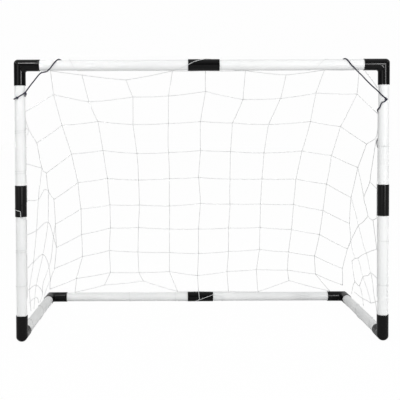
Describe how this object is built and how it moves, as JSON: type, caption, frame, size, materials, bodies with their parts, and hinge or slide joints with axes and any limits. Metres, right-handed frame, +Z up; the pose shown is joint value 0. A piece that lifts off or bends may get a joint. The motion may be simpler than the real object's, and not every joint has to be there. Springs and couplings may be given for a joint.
{
  "type": "hockey goal net",
  "caption": "Push-fit practice goal: white tubes in black elbow and straight socket fittings, with a sloping knotted square-mesh net laced round the tubes.",
  "frame": {"origin": "on the floor, under the middle of the frame", "axes": "+Z up, +X along the crossbar to the right as seen from the front, and the open mouth faces -Y"},
  "size_m": [1.2025, 0.637, 0.9074],
  "materials": {
    "tube_plastic": "smooth satin white",
    "fitting_plastic": "glossy black moulding",
    "net_twine": "white knotted twine",
    "corner_cord": "dark navy braided cord"
  },
  "bodies": {
    "root": {"top_left_elbow": "fitting_plastic", "top_right_elbow": "fitting_plastic", "front_left_elbow": "fitting_plastic", "front_right_elbow": "fitting_plastic", "rear_left_elbow": "fitting_plastic", "rear_right_elbow": "fitting_plastic", "crossbar_coupler": "fitting_plastic", "left_post_coupler": "fitting_plastic", "right_post_coupler": "fitting_plastic", "rear_bar_coupler": "fitting_plastic", "crossbar_tube_left": "tube_plastic", "crossbar_tube_right": "tube_plastic", "left_post_upper_tube": "tube_plastic", "left_post_lower_tube": "tube_plastic", "right_post_upper_tube": "tube_plastic", "right_post_lower_tube": "tube_plastic", "left_side_tube": "tube_plastic", "right_side_tube": "tube_plastic", "rear_tube_left": "tube_plastic", "rear_tube_right": "tube_plastic", "back_net": "net_twine", "left_side_net": "net_twine", "right_side_net": "net_twine", "crossbar_lacing": "net_twine", "left_post_lacing": "net_twine", "right_post_lacing": "net_twine", "left_bar_lacing": "net_twine", "right_bar_lacing": "net_twine", "rear_bar_lacing": "net_twine", "left_corner_cord": "corner_cord", "right_corner_cord": "corner_cord"}
  },
  "joints": []
}
